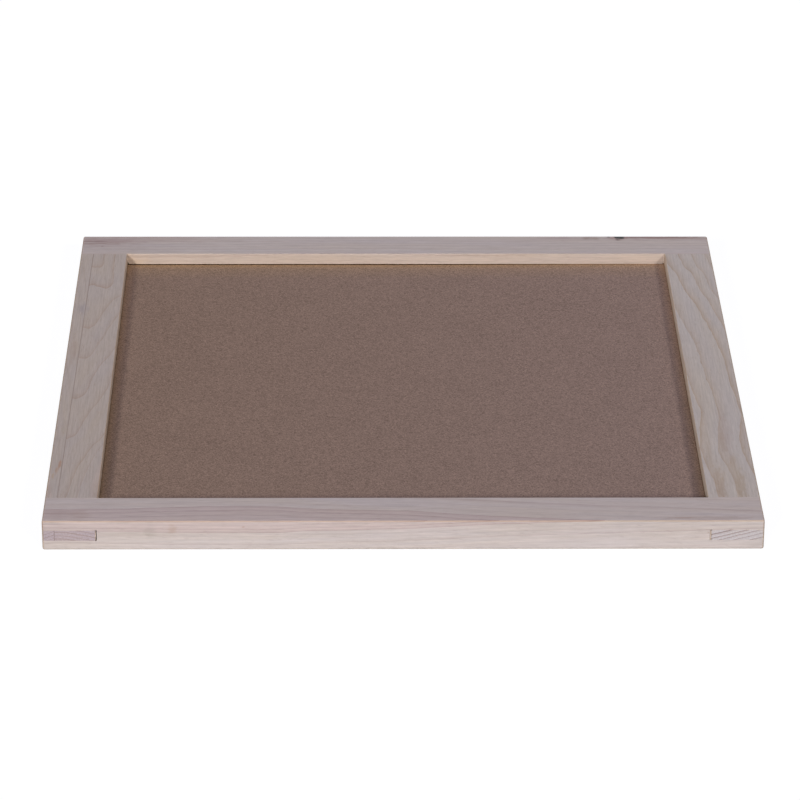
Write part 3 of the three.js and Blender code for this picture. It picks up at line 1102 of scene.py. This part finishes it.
def film_tree():
    """Eight like films of glue, one at each corner of a box, with rounded corners."""
    tree, given, made = new_geometry_tree(
        "joint_glue_films",
        Float=("Length", "Width", "Thickness", "Corner"),
        Vector=("Turn", "Spread", "Middle"),
        Material=("Glue",),
    )
    outline = add(tree, "GeometryNodeCurvePrimitiveQuadrilateral", [given["Length"], given["Width"]])
    outline = {"Curve": outline, "Radius": given["Corner"], "Count": 4}
    outline = add(tree, "GeometryNodeFilletCurve", outline, mode="POLY")
    bottom = add(tree, "GeometryNodeFillCurve", [outline])
    top = {"Mesh": bottom, "Offset Scale": given["Thickness"], "Individual": False}
    top = add(tree, "GeometryNodeExtrudeMesh", top)
    under = add(tree, "GeometryNodeFlipFaces", [bottom])
    closed = add(tree, "GeometryNodeJoinGeometry")
    for half in (top, under):
        tree.links.new(half.outputs[0], closed.inputs[0])
    film = add(tree, "GeometryNodeMergeByDistance", {"Geometry": closed, "Distance": 0.001 * MM})
    down = add(tree, "ShaderNodeMath", [given["Thickness"], -0.5], operation="MULTIPLY")
    down = add(tree, "ShaderNodeCombineXYZ", [0.0, 0.0, down])
    film = add(tree, "GeometryNodeTransform", {"Geometry": film, "Translation": down})
    corners = add(tree, "GeometryNodeMeshCube", [given["Spread"], 2, 2, 2])
    corners = {"Geometry": corners, "Translation": given["Middle"]}
    corners = add(tree, "GeometryNodeTransform", corners)
    turn = add(tree, "FunctionNodeEulerToRotation", [given["Turn"]])
    films = {"Points": corners, "Instance": film, "Rotation": turn}
    films = add(tree, "GeometryNodeInstanceOnPoints", films)
    end_geometry_tree(tree, made, films, {"Material": given["Glue"]})
    return tree


def bead_tree():
    """A bead of glue that swells and shrinks along its way and tapers at both ends."""
    tree, given, made = new_geometry_tree(
        "joint_glue_bead",
        Vector=("Start", "End"),
        Float=("Radius", "Lobes", "Seed"),
        Material=("Glue",),
    )
    path = add(tree, "GeometryNodeCurvePrimitiveLine", [given["Start"], given["End"]])
    path = add(tree, "GeometryNodeResampleCurve", {"Curve": path, "Count": BEAD_STEPS})
    share = add(tree, "GeometryNodeSplineParameter").outputs["Factor"]
    beat = add(tree, "ShaderNodeMath", [share, given["Lobes"]], operation="MULTIPLY")
    beat = add(tree, "ShaderNodeMath", [beat, math.pi], operation="MULTIPLY")
    beat = add(tree, "ShaderNodeMath", [beat], operation="SINE")
    beat = add(tree, "ShaderNodeMath", [beat], operation="ABSOLUTE")
    swell = add(tree, "ShaderNodeMapRange", [beat, 0.0, 1.0, WAIST, 1.0])
    taper = add(tree, "ShaderNodeMath", [share, math.pi], operation="MULTIPLY")
    taper = add(tree, "ShaderNodeMath", [taper], operation="SINE")
    taper = add(tree, "ShaderNodeMath", [taper, 0.001], operation="MAXIMUM")
    taper = add(tree, "ShaderNodeMath", [taper, TAPER], operation="POWER")
    girth = add(tree, "ShaderNodeMath", [swell, taper], operation="MULTIPLY")
    section = add(tree, "GeometryNodeCurvePrimitiveCircle", [BEAD_SIDES, given["Radius"]])
    bead = {"Curve": path, "Profile Curve": section, "Scale": girth, "Fill Caps": True}
    bead = add(tree, "GeometryNodeCurveToMesh", bead)
    here = add(tree, "GeometryNodeInputPosition")
    shift = add(tree, "ShaderNodeCombineXYZ", [given["Seed"], 0.0, 0.0])
    seeded = add(tree, "ShaderNodeVectorMath", [here, shift], operation="ADD")
    lumps = {"Vector": seeded, "Scale": LUMPS_PER_METRE, "Detail": 1.0}
    lumps = add(tree, "ShaderNodeTexNoise", lumps)
    push = add(tree, "ShaderNodeMapRange", [lumps, LOW, HIGH, -LUMP, LUMP])
    push = add(tree, "ShaderNodeMath", [push, given["Radius"]], operation="MULTIPLY")
    outward = {"Vector": add(tree, "GeometryNodeInputNormal"), "Scale": push}
    outward = add(tree, "ShaderNodeVectorMath", outward, operation="SCALE")
    lumpy = add(tree, "GeometryNodeSetPosition", {"Geometry": bead, "Offset": outward})
    smooth = add(tree, "GeometryNodeSetShadeSmooth", {"Geometry": lumpy, "Shade Smooth": True})
    end_geometry_tree(tree, made, smooth, {"Material": given["Glue"]})
    return tree


class HIVECOVER_OT_make_glue(bpy.types.Operator):
    """Fills the corner joints' glue lines and their root gaps with dried glue"""

    bl_idname = "hive_cover.make_glue"
    bl_label = "Make Joint Glue"

    def execute(self, context):
        settings = context.scene.hive_cover.glue
        glue = dried_glue(settings)
        stile_low, stile_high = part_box("right_stile")
        rail_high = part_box("front_rail")[1]
        inner_x, inner_y = stile_low.x, -rail_high.y
        outer_x, outer_y, top = rail_high.x, stile_high.y, stile_high.z
        slot_low, slot_high, gap = SLOT_LOW * MM, SLOT_HIGH * MM, GLUE_GAP * MM

        films = film_tree()
        shared = {
            "Length": outer_x - inner_x,
            "Thickness": settings.film,
            "Middle": (0.0, 0.0, top / 2),
            "Glue": glue,
        }
        cheeks = {
            "Width": outer_y - inner_y,
            "Corner": CHEEK_CORNER * MM,
            "Turn": (0.0, 0.0, 0.0),
            "Spread": (inner_x + outer_x, inner_y + outer_y, slot_high - slot_low - gap),
        }
        shoulders = {
            "Width": slot_low,
            "Corner": SHOULDER_CORNER * MM,
            "Turn": (math.pi / 2, 0.0, 0.0),
            "Spread": (inner_x + outer_x, 2 * inner_y - gap, slot_high),
        }
        pieces = [
            made_by(films, "glue_films_cheeks", shared | cheeks),
            made_by(films, "glue_films_shoulders", shared | shoulders),
        ]

        # Rows of (name, x, y, low end, high end, radius in millimetres, lobes, seed)
        rows = []
        for seed, bead in enumerate(BEADS, SEED):
            x = bead.side_x * (inner_x - bead.from_tenon * MM)
            y = bead.side_y * (outer_y - bead.depth * MM)
            ends = (slot_low + BEAD_END * MM, slot_high - BEAD_END * MM)
            rows.append(("glue_bead_" + bead.corner, x, y, *ends, bead.radius, bead.lobes, seed))
        for number, (side_x, side_y) in enumerate(DROP_CORNERS):
            x = side_x * (inner_x - DROP_INSET * MM)
            y = side_y * (inner_y + DROP_INSET * MM)
            ends = (slot_high - DROP_LOW * MM, slot_high - DROP_HIGH * MM)
            name = "glue_drop_%d" % (number + 1)
            rows.append((name, x, y, *ends, DROP_RADIUS, 1.0, SEED + 10 + number))
        beads = bead_tree()
        for name, x, y, low, high, radius, lobes, seed in rows:
            values = {
                "Start": (x, y, low),
                "End": (x, y, high),
                "Radius": radius * MM,
                "Lobes": lobes,
                "Seed": float(seed),
                "Glue": glue,
            }
            pieces.append(made_by(beads, name, values))
        for piece in pieces:
            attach(piece, BODY)
        return {"FINISHED"}


# Stage

CAMERA_PLACE = (-36.0 * MM, -2522.0 * MM, 1197.7 * MM)
CAMERA_PITCH = 25.473  # degrees down from level
CAMERA_YAW = -0.831
CAMERA_ROLL = 0.313
CAMERA_LENS, CAMERA_SENSOR = 182.385, 36.0  # mm
# Each lamp: the direction in which it stands, how wide it looks in degrees, and its tint
LAMPS = {
    "left_lamp": ((-0.92, -2.3, 1.0), 8.0, (1.0, 1.0, 1.0)),
    "right_lamp": ((0.92, -1.7, 1.0), 8.0, (1.0, 1.0, 1.0)),
    "top_lamp": ((0.0, 0.0, 1.0), 50.0, (0.97, 0.895, 1.205)),
    "under_lamp": ((0.35, -0.6, -1.0), 20.0, (1.0, 1.0, 1.0)),
}
TABLE_RADIUS = 6.0
TABLE_SIDES = 96
TABLE_LEDGE = 3.0 * MM  # how far the table reaches in under the part
TABLE_GLOW, GLOW_SHARE = 1.12, 0.85  # the rest of what is seen is the lit table, with the shadow


def seen_directly(tree):
    """1 for the rays that show a background: camera, mirror and glass rays."""
    rays = add(tree, "ShaderNodeLightPath").outputs
    seen = [rays["Is Camera Ray"], rays["Is Glossy Ray"]]
    seen = add(tree, "ShaderNodeMath", seen, operation="MAXIMUM")
    return add(tree, "ShaderNodeMath", [seen, rays["Is Transmission Ray"]], operation="MAXIMUM")


def white_table(settings):
    """A white table that glows a little, so it shows white and still keeps the shadow."""
    material, tree = new_material("white_table")
    share = add(tree, "ShaderNodeMath", [seen_directly(tree), GLOW_SHARE], operation="MULTIPLY")
    matt = add(tree, "ShaderNodeBsdfDiffuse", [opaque(settings.table)])
    glow = add(tree, "ShaderNodeEmission", [WHITE, TABLE_GLOW])
    lit = add(tree, "ShaderNodeMixShader", [share, matt, glow])
    # From below it is clear.
    below = add(tree, "ShaderNodeNewGeometry").outputs["Backfacing"]
    one_sided = add(tree, "ShaderNodeMixShader", [below, lit, add(tree, "ShaderNodeBsdfTransparent")])
    add(tree, "ShaderNodeOutputMaterial", [one_sided])
    return material


class HIVECOVER_OT_make_stage(bpy.types.Operator):
    """Sets up the white table, the lamps, the sky and the camera"""

    bl_idname = "hive_cover.make_stage"
    bl_label = "Make Stage"

    def execute(self, context):
        scene = context.scene
        settings = scene.hive_cover.stage
        scene.view_settings.view_transform = "Standard"

        # The table is open under the part, so that the lamp below reaches the underside.
        opening = CAD_BOX[1][0] - TABLE_LEDGE
        turns = [2 * math.pi * i / TABLE_SIDES for i in range(TABLE_SIDES)]
        rays = [Vector((math.cos(turn), math.sin(turn), 0.0)) for turn in turns]
        outer = [ray * TABLE_RADIUS for ray in rays]
        inner = [ray * opening / max(abs(ray.x), abs(ray.y)) for ray in rays]
        steps = [(i, (i + 1) % TABLE_SIDES) for i in range(TABLE_SIDES)]
        faces = [(here, after, TABLE_SIDES + after, TABLE_SIDES + here) for here, after in steps]
        mesh = bpy.data.meshes.new("table")
        mesh.from_pydata(outer + inner, [], faces)
        mesh.materials.append(white_table(settings))
        table = bpy.data.objects.new("table", mesh)
        scene.collection.objects.link(table)

        for name, (direction, width, tint) in LAMPS.items():
            data = bpy.data.lights.new(name, "SUN")
            data.energy = math.pi * getattr(settings, name)
            data.angle = math.radians(width)
            data.color = tint
            lamp = bpy.data.objects.new(name, data)
            lamp.rotation_euler = Vector(direction).to_track_quat("Z", "Y").to_euler()
            scene.collection.objects.link(lamp)

        world = bpy.data.worlds.new("studio")
        world.use_nodes = True
        tree = world.node_tree
        tree.nodes.clear()
        inputs = [seen_directly(tree), opaque(settings.sky), WHITE]
        colour = add(tree, "ShaderNodeMix", inputs, data_type="RGBA")
        light = add(tree, "ShaderNodeBackground", [colour, 1.0])
        add(tree, "ShaderNodeOutputWorld", [light])
        scene.world = world

        lens = bpy.data.cameras.new("camera")
        lens.lens = CAMERA_LENS
        lens.sensor_width = CAMERA_SENSOR
        lens.clip_start = 0.1
        lens.clip_end = 100.0
        camera = bpy.data.objects.new("camera", lens)
        camera.matrix_world = (
            Matrix.Translation(CAMERA_PLACE)
            @ Matrix.Rotation(math.radians(CAMERA_YAW), 4, "Z")
            @ Matrix.Rotation(math.radians(90.0 - CAMERA_PITCH), 4, "X")
            @ Matrix.Rotation(math.radians(CAMERA_ROLL), 4, "Z")
        )
        scene.collection.objects.link(camera)
        scene.camera = camera
        return {"FINISHED"}


# The add-on


class HIVECOVER_PT_sidebar(bpy.types.Panel):
    """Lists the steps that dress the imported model"""

    bl_idname = "HIVECOVER_PT_sidebar"
    bl_label = "Hive Inner Cover"
    bl_space_type = "VIEW_3D"
    bl_region_type = "UI"
    bl_category = "Hive Cover"

    def draw(self, context):
        settings = context.scene.hive_cover
        for step, group in zip(STEPS, (settings.spruce, settings.panel, settings.glue, settings.stage)):
            box = self.layout.box()
            for name in group.bl_rna.properties.keys():
                if name not in ("rna_type", "name"):
                    box.prop(group, name)
            box.operator(step.bl_idname)


STEPS = (
    HIVECOVER_OT_finish_frame,
    HIVECOVER_OT_make_panel,
    HIVECOVER_OT_make_glue,
    HIVECOVER_OT_make_stage,
)
GROUPS = (SpruceSettings, PanelSettings, GlueSettings, StageSettings, HiveCoverSettings)
CLASSES = (*GROUPS, *STEPS, HIVECOVER_PT_sidebar)


def register():
    for cls in CLASSES:
        bpy.utils.register_class(cls)
    bpy.types.Scene.hive_cover = bpy.props.PointerProperty(type=HiveCoverSettings)


def unregister():
    del bpy.types.Scene.hive_cover
    for cls in reversed(CLASSES):
        bpy.utils.unregister_class(cls)


def main():
    register()
    bpy.ops.hive_cover.finish_frame()
    bpy.ops.hive_cover.make_panel()
    bpy.ops.hive_cover.make_glue()
    bpy.ops.hive_cover.make_stage()


if __name__ == "__main__":
    main()
